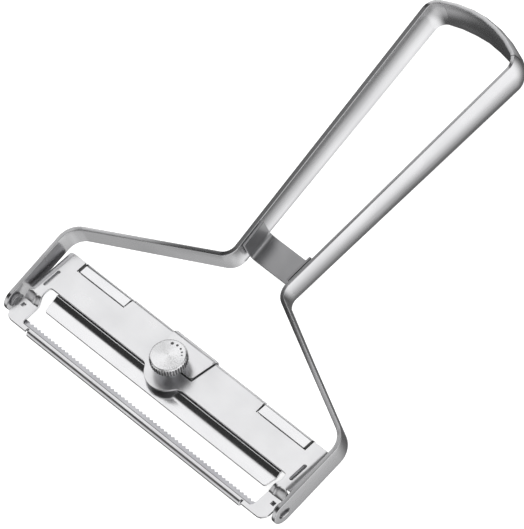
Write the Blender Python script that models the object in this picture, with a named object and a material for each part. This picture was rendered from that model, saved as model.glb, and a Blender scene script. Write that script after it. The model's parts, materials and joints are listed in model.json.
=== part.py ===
"""Wide Y-handled slicer-peeler: one bent steel strip carries a tilting pressed cutter
with a serrated blade and a guide plate that a knurled thumb knob sets.

Lengths are written in millimetres and turned into metres when a mesh is made.
The cutter is drawn level in its own frame (X along the blade, S towards the handle,
N up) and hangs on an empty that lies on its pivot axis and holds its resting tilt.
"""
import math

import bmesh
import bpy
from mathutils import Vector

MM = 0.001
GAP = 0.3

# Handle strip: outline of its outer face, right half, from arm tip to handle end
STRIP_T = 1.7
STRIP_EDGE_T = 1.6
STRIP_CROWN = 0.05
STRIP_ROUND = 0.2
NECK_BOW, END_BOW = 0.55, 1.7
BOW_START_Y = 44.0
ARM_SPREAD = 1.0
TIP_Y = -4.6
SHOULDER_Y, SHOULDER_R = 32.3, 9.0
NECK_X, NECK_Y, NECK_R = 13.1, 59.0, 5.0
END_X, END_Y, END_R = 21.75, 174.9, 6.5
CROWN_RISE, CROWN_CUT = 10.9, 4.7
ARM_WIDTH = 9.2
NECK_WIDTH = 10.9
END_WIDTH = 16.0
END_WIDTH_Y = 176.0
SLOT_LENGTH, SLOT_WIDTH = 5.0, 2.6

# Bridge plate across the neck
BRIDGE_Y0, BRIDGE_Y1 = 64.1, 75.2
BRIDGE_T = 1.0
BRIDGE_BEND = 2.6
BRIDGE_LIFT = 0.3
FLANGE_DROP = 0.7

# Cutter carrier: one pressed sheet
TILT = math.radians(11.6)
SHEET_T = 1.0
PLATE_N = 2.43
BAR_N = 0.0
REAR_S = 26.2
STEP_S = 10.7
HALF_LENGTH = 66.4
CHEEK_BEND = 3.0
CHEEK_FRONT_S = 7.6
RAMP_TOP_S, RAMP_FOOT_S = 6.0, 2.3
LOBE_S, LOBE_R, LOBE_FILLET = 13.6, 8.6, 3.0
ROLL_R = 2.0
ROLL_TURN = math.radians(268)
ROLL_PROUD = 0.9
NOTCH_IN, NOTCH_S = 33.3, 21.6
NOTCH_MARGIN = 9.0
WINDOW_MARGIN, WINDOW_FRONT_S = 8.4, -5.2
CORNER_MARGIN, CORNER_R, FRONT_S = 1.2, 3.2, -7.2
TAB_HALF, TAB_PROUD, TAB_ROUND = 1.7, 1.1, 0.8
TAB_ROOT_R = 0.6
CHEEK_CORNER_R = 2.4
FOLD_S, FOLD_HALF, FOLD_LEG = -6.2, 53.6, 1.3
SLIT = 0.8
END_SLOT_MARGIN, END_SLOT_W, END_SLOT_S0, END_SLOT_S1 = 4.4, 1.3, 9.7, 17.6
LUG_MARGIN, LUG_S, LUG_SIDE = 3.4, 0.1, 1.5
RIB_MARGIN, RIB_HALF, RIB_HEIGHT = 5.7, 1.1, 0.45

# Serrated blade
BLADE_T = 0.5
BLADE_SEAT = 2.4
BLADE_PLAIN_END = 4.6
TOOTH_PITCH = 1.8
TOOTH_DEPTH = 0.8
TIP_S = -2.8
GRIND_S = -4.6
EDGE_T = 0.14

# Guide plate
GUIDE_T = 0.8
GUIDE_DROP = 0.9
LIP_S, LIP_N = 3.3, -0.5
LIP_CLEAR = 1.6
LIP_FLAT, LIP_CORNER_R = 4.8, 1.2
GUIDE_TAPER, GUIDE_SIDE_R = 0.9, 4.0
EAR_STEP, EAR_RISE = 0.7, 1.0
RAMP_CORNER_S = 8.4
GUIDE_SLOPE = math.radians(30)
FOOT_BEND, HEAD_BEND, REAR_BEND = 5.0, 0.8, 1.6
GUIDE_JOG = 3.2
JOG_CLEAR, BACK_CLEAR = 0.3, 1.5
HOOK_R = 1.8
HOOK_SIDE_GAP = 0.4

# Hinge rod, leaf, knob, screw, ring, bush, washers
ROD_R, ROD_MARGIN = 0.7, 0.6
LEAF_T, LEAF_X, LEAF_FRONT_S, LEAF_TURN = 0.5, -1.9, 15.9, math.radians(195)
LEAF_HALF, LEAF_FRONT_HALF, LEAF_CORNER_R = 10.3, 8.9, 1.5
FORK_GAP = 0.4
KNOB_X, KNOB_S = -2.4, 15.1
KNOB_R = 6.9
KNOB_TOP_N = 10.63
KNOB_H = 4.0
KNURLS = 42
KNURL_DEPTH = 0.35
NECK_KNOB_R = 2.8
SCREW_R = 2.0
SCREW_END_N = -2.5
GROOVE_R = 1.5
RING_T, RING_R = 0.4, 3.6
RUN_GAP = 0.25
BUSH_R, BUSH_HEX, BUSH_FLANGE_T = 2.9, 4.2, 1.5
WASHER_R, WASHER_T = 2.9, 0.6
RIM = 0.12

# Values that follow from the ones above
HALF_T = SHEET_T / 2
CROWN_Y = END_Y + CROWN_RISE
END_TOP = CROWN_Y - CROWN_CUT
TIP_X = HALF_LENGTH + GAP + STRIP_T
SHOULDER_X = TIP_X + ARM_SPREAD
TAB_END = TIP_X + TAB_PROUD
CORNER_X = HALF_LENGTH - CORNER_MARGIN
WINDOW_X = HALF_LENGTH - WINDOW_MARGIN
END_SLOT_X = HALF_LENGTH - END_SLOT_MARGIN
LUG_X = HALF_LENGTH - LUG_MARGIN
RIB_X = HALF_LENGTH - RIB_MARGIN
NOTCH_OUT = HALF_LENGTH - NOTCH_MARGIN
ROLL_HALF = NOTCH_IN - GAP
ROD_HALF = NOTCH_OUT - ROD_MARGIN
LIP_HALF = WINDOW_X - LIP_CLEAR
BLADE_HALF = WINDOW_X + BLADE_SEAT
TOOTH_COUNT = 2 * int((BLADE_HALF - BLADE_PLAIN_END) / TOOTH_PITCH + 1e-6)
PIVOT_Z = END_WIDTH / 2
HINGE_S = REAR_S + ROLL_PROUD - ROLL_R
HINGE_N = PLATE_N + HALF_T - ROLL_R
FOLD_N = BAR_N - HALF_T - GAP - BLADE_T / 2
FOLD_MID_R = BAR_N - FOLD_N
FRONT_Y = FOLD_S * math.cos(TILT) + FOLD_N * math.sin(TILT) - FOLD_MID_R - HALF_T
SHIFT_Y = (END_TOP + END_BOW + FRONT_Y) / 2
GUIDE_TOP_N = PLATE_N - HALF_T - GUIDE_DROP
GUIDE_N = GUIDE_TOP_N - GUIDE_T / 2
PLATE_TOP_N = PLATE_N + HALF_T
SCREW_HOLE_R = SCREW_R + GAP
GUIDE_REAR = KNOB_S + BUSH_R + GAP + JOG_CLEAR


def fillet(points, step=12.0):
    """Rounds the corners of an open line; each point is (a, b, radius)."""
    out = [Vector(points[0][:2])]
    for before, here, after in zip(points, points[1:], points[2:]):
        corner = Vector(here[:2])
        back = (Vector(before[:2]) - corner).normalized()
        ahead = (Vector(after[:2]) - corner).normalized()
        turn = math.pi - back.angle(ahead)
        reach = here[2] * math.tan(turn / 2)
        side = 1 if (-back).cross(ahead) > 0 else -1
        start = corner + back * reach
        centre = start + Vector((-(-back).y, (-back).x)) * side * here[2]
        count = max(2, math.ceil(math.degrees(turn) / step))
        arm = start - centre
        for k in range(count + 1):
            angle = side * turn * k / count
            cos, sin = math.cos(angle), math.sin(angle)
            out.append(centre + Vector((arm.x * cos - arm.y * sin, arm.x * sin + arm.y * cos)))
    out.append(Vector(points[-1][:2]))
    return out


def arc(cx, cy, radius, start, end, count):
    """Points on an arc between two angles in degrees."""
    out = []
    for k in range(count + 1):
        angle = math.radians(start + (end - start) * k / count)
        out.append((cx + radius * math.cos(angle), cy + radius * math.sin(angle)))
    return out


def thinned(line, least):
    """Leaves out points of a line that lie closer together than the least distance."""
    out = [line[0]]
    for point in line[1:-1]:
        if (point - out[-1]).length >= least and (point - line[-1]).length >= least:
            out.append(point)
    return out + [line[-1]]


def circle(cx, cy, radius):
    """Closed loop of points round a hole."""
    return arc(cx, cy, radius, 0, 345, 23)


def tangents(line):
    """Unit tangent at each point of an open line."""
    out = []
    for k in range(len(line)):
        a = line[max(k - 1, 0)]
        b = line[min(k + 1, len(line) - 1)]
        out.append((b - a).normalized())
    return out


def steel(name, colour, roughness):
    """Metal material with the piece's own shade."""
    material = bpy.data.materials.new(name)
    material.use_nodes = True
    shader = material.node_tree.nodes["Principled BSDF"]
    shader.inputs["Base Color"].default_value = (*colour, 1.0)
    shader.inputs["Roughness"].default_value = roughness
    shader.inputs["Metallic"].default_value = 1.0
    return material


def finish(name, bm, material, parent, sharp=35):
    """Turns a bmesh in millimetres into a named, shaded object under its empty."""
    bmesh.ops.recalc_face_normals(bm, faces=bm.faces[:])
    bmesh.ops.scale(bm, vec=(MM, MM, MM), verts=bm.verts[:])
    mesh = bpy.data.meshes.new(name)
    bm.to_mesh(mesh)
    bm.free()
    mesh.shade_smooth()
    mesh.set_sharp_from_angle(angle=math.radians(sharp))
    mesh.materials.append(material)
    obj = bpy.data.objects.new(name, mesh)
    bpy.context.collection.objects.link(obj)
    obj.parent = parent
    return obj


def empty(name, location, tilt=0.0, parent=None):
    """Empty that carries a moving group on its joint axis."""
    obj = bpy.data.objects.new(name, None)
    bpy.context.collection.objects.link(obj)
    obj.empty_display_size = 0.01
    obj.location = [value * MM for value in location]
    obj.rotation_euler.x = tilt
    obj.parent = parent
    return obj


def bridge_rings(bm, rings, closed=False, caps=True):
    """Skins a run of equal rings of vertices and caps its ends."""
    pairs = list(zip(rings, rings[1:]))
    if closed:
        pairs.append((rings[-1], rings[0]))
    for lower, upper in pairs:
        size = len(lower)
        for k in range(size):
            nxt = (k + 1) % size
            bm.faces.new((lower[k], lower[nxt], upper[nxt], upper[k]))
    if caps and not closed:
        bm.faces.new(rings[0])
        bm.faces.new(rings[-1])


def turned(profile, sides, closed=False, shape=None, axis="n"):
    """Turns a profile of (radius, height, knurled) points round its axis."""
    bm = bmesh.new()
    rings = []
    for radius, height, worked in profile:
        ring = []
        for k in range(sides):
            angle = 2 * math.pi * k / sides
            reach = shape(radius, k, angle) if worked else radius
            a, b = reach * math.cos(angle), reach * math.sin(angle)
            co = (height, a, b) if axis == "x" else (a, b, height)
            ring.append(bm.verts.new(co))
        rings.append(ring)
    bridge_rings(bm, rings, closed=closed)
    return bm


def pressed(outline, holes, cuts_a, cuts_b, shape, thickness):
    """Cuts a flat blank, divides it at its bend lines and forms it with shape(a, b, off)."""
    flat = bmesh.new()
    for loop in [outline] + holes:
        verts = [flat.verts.new((a, b, 0)) for a, b in loop]
        for k in range(len(verts)):
            flat.edges.new((verts[k], verts[(k + 1) % len(verts)]))
    bmesh.ops.triangle_fill(flat, use_beauty=True, edges=flat.edges[:], normal=(0, 0, 1))
    cuts = [((a, 0, 0), (1, 0, 0)) for a in cuts_a] + [((0, b, 0), (0, 1, 0)) for b in cuts_b]
    for point, normal in cuts:
        geom = flat.verts[:] + flat.edges[:] + flat.faces[:]
        bmesh.ops.bisect_plane(flat, geom=geom, dist=1e-4, plane_co=point, plane_no=normal)
    bmesh.ops.remove_doubles(flat, verts=flat.verts[:], dist=0.16)
    bmesh.ops.dissolve_degenerate(flat, edges=flat.edges[:], dist=1e-4)
    bmesh.ops.triangulate(flat, faces=flat.faces[:])
    for face in flat.faces:
        if face.normal.z < 0:
            face.normal_flip()

    inward = {}
    rim_edges = []
    for face in flat.faces:
        for loop in face.loops:
            if len(loop.edge.link_faces) == 1:
                a, b = loop.vert, loop.link_loop_next.vert
                run = (b.co - a.co).normalized()
                side = Vector((-run.y, run.x, 0))
                rim_edges.append((a, b))
                inward.setdefault(a, []).append(side)
                inward.setdefault(b, []).append(side)

    bm = bmesh.new()
    half = thickness / 2
    top, upper, lower, bottom = {}, {}, {}, {}
    for vert in flat.verts:
        a, b = vert.co.x, vert.co.y
        if vert in inward:
            one, two = inward[vert][0], inward[vert][-1]
            mitre = (one + two) / max(1 + one.dot(two), 0.5) * RIM
            upper[vert] = bm.verts.new(shape(a, b, half - RIM))
            lower[vert] = bm.verts.new(shape(a, b, RIM - half))
            a, b = a + mitre.x, b + mitre.y
        top[vert] = bm.verts.new(shape(a, b, half))
        bottom[vert] = bm.verts.new(shape(a, b, -half))
    for face in flat.faces:
        verts = [loop.vert for loop in face.loops]
        bm.faces.new([top[v] for v in verts])
        bm.faces.new([bottom[v] for v in reversed(verts)])
    for a, b in rim_edges:
        for high, low in ((top, upper), (upper, lower), (lower, bottom)):
            bm.faces.new((high[b], high[a], low[a], low[b]))
    flat.free()
    return bm


def strip_half_width(y):
    """Half the strip's width at a place along the handle."""
    stops = ((SHOULDER_Y, ARM_WIDTH), (NECK_Y, NECK_WIDTH), (END_WIDTH_Y, END_WIDTH))
    if y <= stops[0][0]:
        return ARM_WIDTH / 2
    for (y0, w0), (y1, w1) in zip(stops, stops[1:]):
        if y <= y1:
            return (w0 + (w1 - w0) * (y - y0) / (y1 - y0)) / 2
    return END_WIDTH / 2


def strip_bow(y):
    """How far the strip's middle is pressed outward between its two edges."""
    if y <= BOW_START_Y:
        return 0.0
    if y <= NECK_Y:
        return NECK_BOW * (y - BOW_START_Y) / (NECK_Y - BOW_START_Y)
    return NECK_BOW + (END_BOW - NECK_BOW) * min((y - NECK_Y) / (END_WIDTH_Y - NECK_Y), 1.0)


def strip_line():
    """Outer face of the strip from the right arm's tip round the end to the left one's."""
    slope = math.atan2(CROWN_RISE, END_X)
    crown_r = CROWN_CUT / (1 / math.cos(slope) - 1)
    half = [(TIP_X, TIP_Y, 0), (SHOULDER_X, SHOULDER_Y, SHOULDER_R), (NECK_X, NECK_Y, NECK_R),
            (END_X, END_Y, END_R), (0, CROWN_Y, crown_r)]
    full = half + [(-x, y, r) for x, y, r in reversed(half[:-1])]
    return fillet(full, step=9.0)


def strip_section(half_width, bow):
    """Rounded, outward pressed cross-section as (outward, up) pairs."""
    edge = STRIP_EDGE_T / 2
    r = min(STRIP_ROUND, half_width * 0.6)
    inner = half_width - r
    stops = [inner * share for share in (1.0, 0.78, 0.52, 0.26, 0.0, -0.26, -0.52, -0.78, -1.0)]
    domed = [(edge + STRIP_CROWN * (1 - (v / inner) ** 2), v) for v in stops]
    soft = 0.3 * r
    corner = [(edge - soft, half_width - soft), (edge - r, half_width)]
    right = [(u, v) for u, v in reversed(corner)] + domed + [(u, -v) for u, v in corner]
    full = right + [(-u, -v) for u, v in right]
    section = []
    for u, v in full:
        share = max(-1.0, min(v / inner, 1.0))
        lean = math.atan(2 * bow * max(share, 0.0) / inner)
        out = u * math.cos(lean) + bow * (1 - share ** 2)
        section.append((out, v + math.sin(lean) * (u - edge)))
    return section


def spread(line, spacing):
    """Adds points so that no run is longer than the spacing."""
    out = [line[0]]
    for a, b in zip(line, line[1:]):
        count = max(1, math.ceil((b - a).length / spacing))
        out += [a + (b - a) * k / count for k in range(1, count + 1)]
    return out


def handle_strip(material):
    """The bent strip, with its rounded arm tips and the pivot slots."""
    line = spread(strip_line(), 14.0)
    radius = ARM_WIDTH / 2
    centre_y = TIP_Y + radius
    heading = (line[1] - line[0]).normalized()
    tips = [line[0] + heading * radius * (1 - math.cos(math.radians(a))) for a in (9, 22, 38, 56, 74, 90)]
    line = tips + line[1:-1] + [Vector((-p.x, p.y)) for p in reversed(tips)]
    bm = bmesh.new()
    rings = []
    for point, run in zip(line, tangents(line)):
        half = strip_half_width(point.y)
        if point.y < centre_y:
            half = math.sqrt(max(radius ** 2 - (centre_y - point.y) ** 2, 0.01))
        outward = Vector((run.y, -run.x))
        middle = point - outward * STRIP_T / 2
        ring = []
        for u, v in strip_section(half, strip_bow(point.y)):
            place = middle + outward * u
            ring.append(bm.verts.new((place.x, place.y - SHIFT_Y, PIVOT_Z + v)))
        rings.append(ring)
    bridge_rings(bm, rings)
    obj = finish("handle_strip", bm, material, None)

    half = (SLOT_LENGTH - SLOT_WIDTH) / 2
    slot = arc(half, 0, SLOT_WIDTH / 2, -90, 90, 8) + arc(-half, 0, SLOT_WIDTH / 2, 90, 270, 8)
    bm = bmesh.new()
    ends = [[bm.verts.new((x, a - SHIFT_Y, PIVOT_Z + b)) for a, b in slot] for x in (-80, 80)]
    bridge_rings(bm, ends)
    cutter = finish("slot_cutter", bm, material, None)
    cutter.hide_render = True
    cutter.display_type = "WIRE"
    cut = obj.modifiers.new("pivot slots", "BOOLEAN")
    cut.object = cutter
    cut.operation = "DIFFERENCE"
    cut.solver = "EXACT"
    return obj


def strip_inside(y):
    """Half the clear width between the strips' inner faces beside the bridge."""
    slope = (END_X - NECK_X) / (END_Y - NECK_Y)
    reach = STRIP_T / 2 + STRIP_EDGE_T / 2 + STRIP_CROWN
    return NECK_X + slope * (y - NECK_Y) - reach / math.cos(math.atan(slope))


def neck_bridge(material):
    """Plate between the strips with both ends turned up along their inner faces."""
    quarter = BRIDGE_BEND * math.pi / 2

    def shape(share, y, off):
        wide = strip_inside(y) - GAP - BRIDGE_T / 2
        low = PIVOT_Z - strip_half_width(y) + BRIDGE_LIFT + BRIDGE_T / 2
        high = PIVOT_Z + strip_half_width(y) - FLANGE_DROP
        flat = wide - BRIDGE_BEND
        side = 1 if share >= 0 else -1
        part = abs(share)
        if part <= 1:
            x, z = flat * part, low + off
        elif part <= 2:
            a = (part - 1) * math.pi / 2
            x = flat + (BRIDGE_BEND - off) * math.sin(a)
            z = low + BRIDGE_BEND - (BRIDGE_BEND - off) * math.cos(a)
        else:
            x = wide - off
            z = low + BRIDGE_BEND + (part - 2) * (high - low - BRIDGE_BEND)
        return (side * x, y - SHIFT_Y, z)

    outline = [(-3, BRIDGE_Y0), (3, BRIDGE_Y0), (3, BRIDGE_Y1), (-3, BRIDGE_Y1)]
    bends = [s * (1 + k / 7) for s in (-1, 1) for k in range(8)]
    scaled = [(a * quarter, b) for a, b in outline]
    cuts = [a * quarter for a in bends]
    bm = pressed(scaled, [], cuts, [], lambda a, b, off: shape(a / quarter, b, off), BRIDGE_T)
    return finish("neck_bridge", bm, material, None)


def ramp_height(x, s):
    """Height and slope of the pressed sheet before its edges are bent."""
    if s >= RAMP_TOP_S or (abs(x) < NOTCH_IN and s > RAMP_FOOT_S):
        return PLATE_N, 0.0
    if s <= RAMP_FOOT_S:
        return BAR_N, 0.0
    run = RAMP_TOP_S - RAMP_FOOT_S
    t = (s - RAMP_FOOT_S) / run
    rise = PLATE_N - BAR_N
    height = BAR_N + rise * (3 * t * t - 2 * t ** 3)
    slope = rise * (6 * t - 6 * t * t) / run
    across = abs(abs(x) - RIB_X) / RIB_HALF
    if across < 1:
        bump = 0.5 + 0.5 * math.cos(math.pi * across)
        height += RIB_HEIGHT * bump * math.sin(math.pi * t)
    return height, slope


def carrier_shape(x, s, off):
    """Place on the formed carrier of a blank point, off its middle surface."""
    side = 1 if x >= 0 else -1
    reach = abs(x)
    bend_x = HALF_LENGTH - HALF_T - CHEEK_BEND
    if s > HINGE_S and reach < NOTCH_IN:
        r = ROLL_R - HALF_T
        a = (s - HINGE_S) / r
        return (x, HINGE_S + (r + off) * math.sin(a), HINGE_N + (r + off) * math.cos(a))
    if s < FOLD_S and reach < FOLD_HALF + SLIT / 2:
        a = min((FOLD_S - s) / FOLD_MID_R, math.pi)
        extra = max(FOLD_S - s - math.pi * FOLD_MID_R, 0)
        r = FOLD_MID_R + off
        return (x, FOLD_S - r * math.sin(a) + extra, FOLD_N + r * math.cos(a))
    if reach > bend_x and s > RAMP_TOP_S:
        a = min((reach - bend_x) / CHEEK_BEND, math.pi / 2)
        extra = max(reach - bend_x - CHEEK_BEND * math.pi / 2, 0)
        r = CHEEK_BEND + off
        out = bend_x + r * math.sin(a)
        return (side * out, s, PLATE_N - CHEEK_BEND + r * math.cos(a) - extra)
    height, slope = ramp_height(x, s)
    flat = 1 / math.hypot(1, slope)
    return (x, s - off * slope * flat, height + off * flat)


def carrier(material, parent):
    """Pressed carrier: rear plate with its lobe, ramped ends, cheeks, tabs and front bar."""
    bend_x = HALF_LENGTH - HALF_T - CHEEK_BEND
    floor_n = (REAR_S * math.sin(TILT) - PIVOT_Z) / math.cos(TILT)
    cheek = bend_x + CHEEK_BEND * math.pi / 2 + PLATE_N - CHEEK_BEND - floor_n
    roll_s = HINGE_S + (ROLL_R - HALF_T) * ROLL_TURN
    fold_s = FOLD_S - math.pi * FOLD_MID_R - FOLD_LEG
    relief = FOLD_S + 0.4
    right = [(0, fold_s), (FOLD_HALF, fold_s), (FOLD_HALF, relief), (FOLD_HALF + SLIT, relief),
             (FOLD_HALF + SLIT, FRONT_S)]
    right += arc(CORNER_X - CORNER_R, FRONT_S + CORNER_R, CORNER_R, -90, 0, 6)
    right += arc(CORNER_X + TAB_ROOT_R, -TAB_HALF - TAB_ROOT_R, TAB_ROOT_R, 180, 90, 3)
    right += arc(TAB_END - TAB_ROUND, TAB_ROUND - TAB_HALF, TAB_ROUND, -90, 0, 3)
    right += arc(TAB_END - TAB_ROUND, TAB_HALF - TAB_ROUND, TAB_ROUND, 0, 90, 3)
    right += arc(CORNER_X + TAB_ROOT_R, TAB_HALF + TAB_ROOT_R, TAB_ROOT_R, 270, 180, 3)
    right += [(CORNER_X, RAMP_TOP_S - 0.6), (bend_x + 0.5, RAMP_TOP_S + 0.2)]
    right += arc(cheek - CHEEK_CORNER_R, CHEEK_FRONT_S + CHEEK_CORNER_R, CHEEK_CORNER_R, -90, 0, 5)
    right += [(cheek, REAR_S), (NOTCH_OUT, REAR_S), (NOTCH_OUT, NOTCH_S), (NOTCH_IN, NOTCH_S)]
    right += [(NOTCH_IN - GAP / 2, HINGE_S - 0.4), (ROLL_HALF, HINGE_S), (ROLL_HALF, roll_s), (0, roll_s)]
    outline = mirrored_loop(right)

    rim = STEP_S - LOBE_S
    reach = math.sqrt((LOBE_R + LOBE_FILLET) ** 2 - (LOBE_FILLET - rim) ** 2)
    low = math.degrees(math.atan2(rim - LOBE_FILLET, reach))
    lobe = arc(0, LOBE_S, LOBE_R, -90, low, 8)
    lobe += arc(reach, STEP_S - LOBE_FILLET, LOBE_FILLET, 180 + low, 90, 4)[1:]
    end = [(reach, STEP_S, 0), (WINDOW_X + 1.3, STEP_S - 0.1, 1.1), (WINDOW_X + 1.5, 7.6, 4),
           (WINDOW_X + 0.2, 3.6, 4), (WINDOW_X, -3.0, 4), (WINDOW_X, WINDOW_FRONT_S, 1.2),
           (0, WINDOW_FRONT_S, 0)]
    side = [tuple(p) for p in fillet(end, 22)[1:]]
    window = [(KNOB_X + x, y) for x, y in lobe] + side + [(-x, y) for x, y in reversed(side[:-1])]
    window += [(KNOB_X - x, y) for x, y in reversed(lobe[1:])]
    slots = [window]
    for side in (-1, 1):
        half = END_SLOT_W / 2
        loop = arc(side * END_SLOT_X, END_SLOT_S1 - half, half, 0, 180, 5)
        loop += arc(side * END_SLOT_X, END_SLOT_S0 + half, half, 180, 360, 5)
        slots.append(loop)
        h = LUG_SIDE / 2
        slots.append([(side * LUG_X + a * h, LUG_S + b * h) for a, b in ((-1, -1), (1, -1), (1, 1), (-1, 1))])
    slots.append(circle(KNOB_X, KNOB_S, SCREW_HOLE_R))

    bends = [bend_x + CHEEK_BEND * math.pi / 2 * k / 5 for k in range(6)]
    ribs = [RIB_X + RIB_HALF * k / 2 for k in (-2, -1, 0, 1, 2)]
    cuts_x = [side * x for side in (-1, 1) for x in bends + ribs + [FOLD_HALF + SLIT / 2]]
    ramp = [RAMP_FOOT_S + (RAMP_TOP_S - RAMP_FOOT_S) * k / 6 for k in range(7)]
    rolls = [HINGE_S + (ROLL_R - HALF_T) * ROLL_TURN * k / 13 for k in range(13)]
    folds = [FOLD_S - math.pi * FOLD_MID_R * k / 8 for k in range(9)]
    bm = pressed(outline, slots, cuts_x, ramp + rolls + folds, carrier_shape, SHEET_T)
    return finish("cutter_carrier", bm, material, parent)


def mirrored_loop(right):
    """Closed loop from a right-hand run that starts and ends on the middle line."""
    return list(right) + [(-x, y) for x, y in reversed(right[1:-1])]


def blade(material, parent):
    """Serrated strip whose teeth point at the handle, ground thin along its edge."""
    edge = []
    start = -TOOTH_PITCH * TOOTH_COUNT / 2
    back = FOLD_S
    for k in range(TOOTH_COUNT):
        x = start + k * TOOTH_PITCH
        edge.append((x, TIP_S - TOOTH_DEPTH))
        edge.append((x + TOOTH_PITCH * 0.5, TIP_S))
    edge.append((-start, TIP_S - TOOTH_DEPTH))
    shoulder = -start + 0.9
    right = [(shoulder, TIP_S - 0.2), (BLADE_HALF - 0.8, TIP_S - 0.2), (BLADE_HALF, TIP_S - 1.0),
             (BLADE_HALF, back + 0.5), (BLADE_HALF - 0.5, back)]
    left = [(-x, s) for x, s in reversed(right)]
    loop = left + edge + right
    flat = bmesh.new()
    verts = [flat.verts.new((x, s, 0)) for x, s in loop]
    for k in range(len(verts)):
        flat.edges.new((verts[k], verts[(k + 1) % len(verts)]))
    bmesh.ops.triangle_fill(flat, use_beauty=True, edges=flat.edges[:], normal=(0, 0, 1))
    geom = flat.verts[:] + flat.edges[:] + flat.faces[:]
    bmesh.ops.bisect_plane(flat, geom=geom, dist=1e-4, plane_co=(0, GRIND_S, 0), plane_no=(0, 1, 0))
    bmesh.ops.triangulate(flat, faces=flat.faces[:])
    for face in flat.faces:
        if face.normal.z < 0:
            face.normal_flip()
    bm = bmesh.new()
    mid = FOLD_N
    high, low = {}, {}
    for vert in flat.verts:
        x, s = vert.co.x, vert.co.y
        ground = max(0.0, (s - GRIND_S) / (TIP_S - GRIND_S))
        top = mid + BLADE_T / 2 - ground * (BLADE_T - EDGE_T)
        high[vert] = bm.verts.new((x, s, top))
        low[vert] = bm.verts.new((x, s, mid - BLADE_T / 2))
    for face in flat.faces:
        verts = [loop.vert for loop in face.loops]
        bm.faces.new([high[v] for v in verts])
        bm.faces.new([low[v] for v in reversed(verts)])
        for loop in face.loops:
            if len(loop.edge.link_faces) == 1:
                a, b = loop.vert, loop.link_loop_next.vert
                bm.faces.new((high[b], high[a], low[a], low[b]))
    flat.free()
    return finish("serrated_blade", bm, material, parent, sharp=12)


def guide_line():
    """Side profile of the guide plate's middle surface up to its hinge roll."""
    head = RAMP_CORNER_S + (GUIDE_N - LIP_N) / math.tan(GUIDE_SLOPE)
    low = HINGE_N - HOOK_R + GUIDE_T / 2
    points = [(LIP_S, LIP_N, 0), (RAMP_CORNER_S, LIP_N, FOOT_BEND), (head, GUIDE_N, HEAD_BEND),
              (GUIDE_REAR + 0.4, GUIDE_N, REAR_BEND), (GUIDE_REAR + GUIDE_JOG, low, REAR_BEND),
              (HINGE_S, low, 0)]
    return thinned(fillet(points, 6), 0.24)


def guide_plate(material, parent):
    """Guide plate under the carrier: lip, joggle, bush hole and two hooks round the rod."""
    line = guide_line()
    runs = [0.0]
    for a, b in zip(line, line[1:]):
        runs.append(runs[-1] + (b - a).length)
    total = runs[-1]
    r = HOOK_R - GUIDE_T / 2
    turn = r * math.pi
    hook = total + turn + HINGE_S - NOTCH_S - HOOK_SIDE_GAP

    def along(s):
        """Length along the profile at which it reaches a place."""
        for k in range(len(line) - 1):
            if line[k].x <= s <= line[k + 1].x:
                return runs[k] + (runs[k + 1] - runs[k]) * (s - line[k].x) / (line[k + 1].x - line[k].x)
        return total

    normals = [Vector((-t.y, t.x)) for t in tangents(line)]

    def shape(x, p, off):
        if p >= total:
            a = min((p - total) / r, math.pi)
            flat = max(p - total - turn, 0.0)
            s, n = HINGE_S + (r - off) * math.sin(a) - flat, HINGE_N - (r - off) * math.cos(a)
        else:
            k = max(i for i in range(len(runs) - 1) if runs[i] <= max(p, 0.0))
            t = (p - runs[k]) / (runs[k + 1] - runs[k])
            spot = line[k].lerp(line[k + 1], t) if p >= 0 else line[0] + Vector((p, 0))
            normal = normals[k].lerp(normals[k + 1], min(max(t, 0), 1)).normalized()
            s, n = spot.x + normal.x * off, spot.y + normal.y * off
        return (x, s - HINGE_S, n - HINGE_N)

    rear, back = along(GUIDE_REAR), along(GUIDE_REAR + BACK_CLEAR)
    inner, outer = NOTCH_IN + HOOK_SIDE_GAP, NOTCH_OUT - GAP
    waist = LIP_HALF - GUIDE_TAPER
    half = fillet([(0, 0, 0), (waist, 0, LIP_CORNER_R), (LIP_HALF, LIP_FLAT, GUIDE_SIDE_R),
                   (waist, rear, 0)], 18)
    right = [tuple(p) for p in half[:-1]]
    right += [(waist + EAR_STEP, rear - EAR_RISE), (outer, rear + 0.2), (outer, hook), (inner, hook)]
    right += [(inner, back + EAR_STEP), (inner - EAR_STEP, back), (0, back)]
    hole = circle(KNOB_X, along(KNOB_S), BUSH_R + GAP)
    cuts = runs[1:-1] + [total + turn * k / 10 for k in range(11)]
    bm = pressed(mirrored_loop(right), [hole], [], cuts, shape, GUIDE_T)
    return finish("guide_plate", bm, material, parent)


def hinge_rod(material, parent):
    """Rod through the carrier's rolled edge and both knuckles."""
    c = 0.2
    profile = [(ROD_R - c, -ROD_HALF, 0), (ROD_R, c - ROD_HALF, 0), (ROD_R, ROD_HALF - c, 0),
               (ROD_R - c, ROD_HALF, 0)]
    rod = finish("hinge_rod", turned(profile, 16, axis="x"), material, parent)
    rod.location = (0, HINGE_S * MM, HINGE_N * MM)
    return rod


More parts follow.
